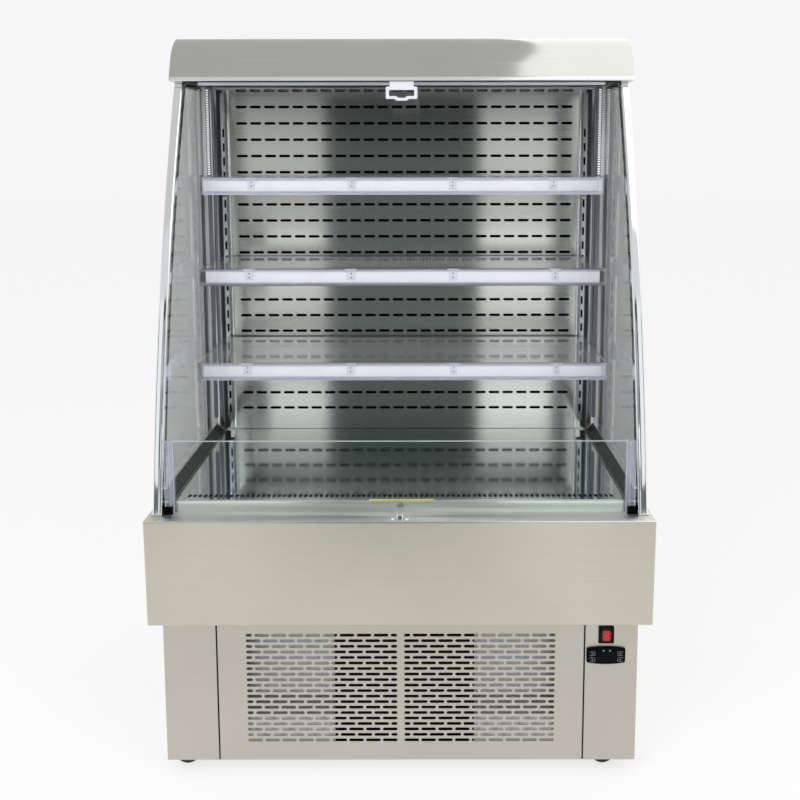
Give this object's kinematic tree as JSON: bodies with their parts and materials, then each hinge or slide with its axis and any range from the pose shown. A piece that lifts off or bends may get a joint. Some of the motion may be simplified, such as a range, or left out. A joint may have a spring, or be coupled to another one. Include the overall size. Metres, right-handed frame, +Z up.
{
  "type": "refrigerated deli case",
  "caption": "Open-front refrigerated deli case: slotted machine cabinet, insulated tub, curved glass sides, hanging shelves, rounded canopy with pull-down night curtain, swivel casters",
  "frame": {"origin": "middle of the bounding box's base, at floor level under the middle of the case", "axes": "+X to a customer's right, +Y from the open front to the back, +Z up"},
  "size_m": [1, 0.6999, 1.5155],
  "materials": {
    "tub_steel": "brushed stainless skin over foam",
    "outer_steel": "brushed stainless skin over foam",
    "brushed_steel": "vertical brush, satin",
    "canopy_steel": "horizontal brush, satin",
    "duct_steel": "brushed, slotted",
    "mirror_steel": "mirror polished",
    "shelf_steel": "polished, perforated",
    "bracket_steel": "satin",
    "polished_steel": "mirror polished",
    "galvanised_steel": "zinc, dull",
    "aluminium_trim": "anodised, satin",
    "bar_aluminium": "anodised, satin",
    "roller_aluminium": "plain",
    "coil_aluminium": "black coated fins",
    "clear_glass": "clear, toughened",
    "clear_plastic": "clear extrusion",
    "white_plastic": "gloss",
    "grey_plastic": "matte",
    "cheek_plastic": "satin",
    "black_plastic": "fine texture",
    "key_plastic": "satin",
    "red_plastic": "translucent red, gloss",
    "fan_plastic": "matte",
    "lamp_lens": "diffusing lens",
    "compressor_paint": "black enamel",
    "caster_tyre": "solid rubber",
    "curtain_cloth": "metallised weave"
  },
  "bodies": {
    "root": {"air_outlet_grille": "grey_plastic", "air_return_grille": "brushed_steel", "back_panel": "duct_steel", "base_frame": "galvanised_steel", "cable_gland": "black_plastic", "canopy_cheeks": "cheek_plastic", "canopy_cover": "canopy_steel", "caster_plates": "galvanised_steel", "compressor": "compressor_paint", "condenser_coil": "coil_aluminium", "condenser_shroud": "galvanised_steel", "controller_housing": "black_plastic", "curtain_cassette": "aluminium_trim", "curtain_catch": "mirror_steel", "deck_pan": "mirror_steel", "evaporator": "coil_aluminium", "front_grille": "brushed_steel", "glass_trims": "aluminium_trim", "insulated_back": "outer_steel", "led_strips": "lamp_lens", "price_rail_bottom": "white_plastic", "price_rail_middle": "white_plastic", "price_rail_top": "white_plastic", "rail_clips": "clear_plastic", "rear_grille": "galvanised_steel", "riser_glass": "clear_glass", "riser_posts": "clear_plastic", "shelf_bottom": "shelf_steel", "shelf_brackets": "bracket_steel", "shelf_middle": "shelf_steel", "shelf_standards": "aluminium_trim", "shelf_top": "shelf_steel", "side_frame_left": "polished_steel", "side_frame_right": "polished_steel", "side_glass_left": "clear_glass", "side_glass_right": "clear_glass", "side_panel_left": "brushed_steel", "side_panel_right": "brushed_steel", "switch_housing": "black_plastic", "top_lamp": "lamp_lens", "tub_body": "tub_steel"},
    "curtain": {"curtain_bar": "bar_aluminium", "curtain_handle": "white_plastic", "curtain_fabric": "curtain_cloth"},
    "roller": {"curtain_roller": "roller_aluminium"},
    "rocker": {"switch_rocker": "red_plastic"},
    "condenser_rotor": {"condenser_fan": "fan_plastic"},
    "evaporator_rotor": {"evaporator_fan": "fan_plastic"},
    "key_1": {"controller_key_1": "key_plastic"},
    "swivel_1": {"caster_fork_1": "galvanised_steel"},
    "wheel_1": {"caster_wheel_1": "caster_tyre"},
    "key_2": {"controller_key_2": "key_plastic"},
    "swivel_2": {"caster_fork_2": "galvanised_steel"},
    "wheel_2": {"caster_wheel_2": "caster_tyre"},
    "key_3": {"controller_key_3": "key_plastic"},
    "swivel_3": {"caster_fork_3": "galvanised_steel"},
    "wheel_3": {"caster_wheel_3": "caster_tyre"},
    "key_4": {"controller_key_4": "key_plastic"},
    "swivel_4": {"caster_fork_4": "galvanised_steel"},
    "wheel_4": {"caster_wheel_4": "caster_tyre"}
  },
  "joints": [
    {"name": "curtain_slide", "type": "slide", "parent": "root", "child": "curtain", "axis": [0, -0.4108, -0.9117], "range_m": [0, 0.759]},
    {"name": "curtain_roller_spin", "type": "hinge", "parent": "root", "child": "roller", "pos_m": [0, 0.04265, 1.44961], "axis": [1, 0, 0], "range_deg": [0, 1990]},
    {"name": "switch_rock", "type": "hinge", "parent": "root", "child": "rocker", "pos_m": [0.413, -0.316, 0.3045], "axis": [-1, 0, 0], "range_deg": [0, 16]},
    {"name": "condenser_fan_spin", "type": "hinge", "parent": "root", "child": "condenser_rotor", "pos_m": [0.007, -0.213, 0.211], "axis": [0, 1, 0], "continuous": true},
    {"name": "evaporator_fan_spin", "type": "hinge", "parent": "root", "child": "evaporator_rotor", "pos_m": [0, 0.0325, 0.451], "axis": [0, 1, 0], "continuous": true},
    {"name": "key_1_press", "type": "slide", "parent": "root", "child": "key_1", "axis": [0, 1, 0], "range_m": [0, 0.0008], "stiffness_N_per_m": 600},
    {"name": "key_2_press", "type": "slide", "parent": "root", "child": "key_2", "axis": [0, 1, 0], "range_m": [0, 0.0008], "stiffness_N_per_m": 600},
    {"name": "key_3_press", "type": "slide", "parent": "root", "child": "key_3", "axis": [0, 1, 0], "range_m": [0, 0.0008], "stiffness_N_per_m": 600},
    {"name": "key_4_press", "type": "slide", "parent": "root", "child": "key_4", "axis": [0, 1, 0], "range_m": [0, 0.0008], "stiffness_N_per_m": 600},
    {"name": "caster_1_swivel", "type": "hinge", "parent": "root", "child": "swivel_1", "pos_m": [-0.433, -0.258, 0.05], "axis": [0, 0, 1], "continuous": true},
    {"name": "caster_1_roll", "type": "hinge", "parent": "swivel_1", "child": "wheel_1", "pos_m": [-0.447, -0.258, 0.025], "axis": [0, 1, 0], "continuous": true},
    {"name": "caster_2_swivel", "type": "hinge", "parent": "root", "child": "swivel_2", "pos_m": [0.433, -0.258, 0.05], "axis": [0, 0, 1], "continuous": true},
    {"name": "caster_2_roll", "type": "hinge", "parent": "swivel_2", "child": "wheel_2", "pos_m": [0.419, -0.258, 0.025], "axis": [0, 1, 0], "continuous": true},
    {"name": "caster_3_swivel", "type": "hinge", "parent": "root", "child": "swivel_3", "pos_m": [-0.433, 0.258, 0.05], "axis": [0, 0, 1], "continuous": true},
    {"name": "caster_3_roll", "type": "hinge", "parent": "swivel_3", "child": "wheel_3", "pos_m": [-0.447, 0.258, 0.025], "axis": [0, 1, 0], "continuous": true},
    {"name": "caster_4_swivel", "type": "hinge", "parent": "root", "child": "swivel_4", "pos_m": [0.433, 0.258, 0.05], "axis": [0, 0, 1], "continuous": true},
    {"name": "caster_4_roll", "type": "hinge", "parent": "swivel_4", "child": "wheel_4", "pos_m": [0.419, 0.258, 0.025], "axis": [0, 1, 0], "continuous": true}
  ],
  "couplings": [
    {"joint": "curtain_roller_spin", "follows": "curtain_slide", "rad_per_m": 45.455}
  ]
}
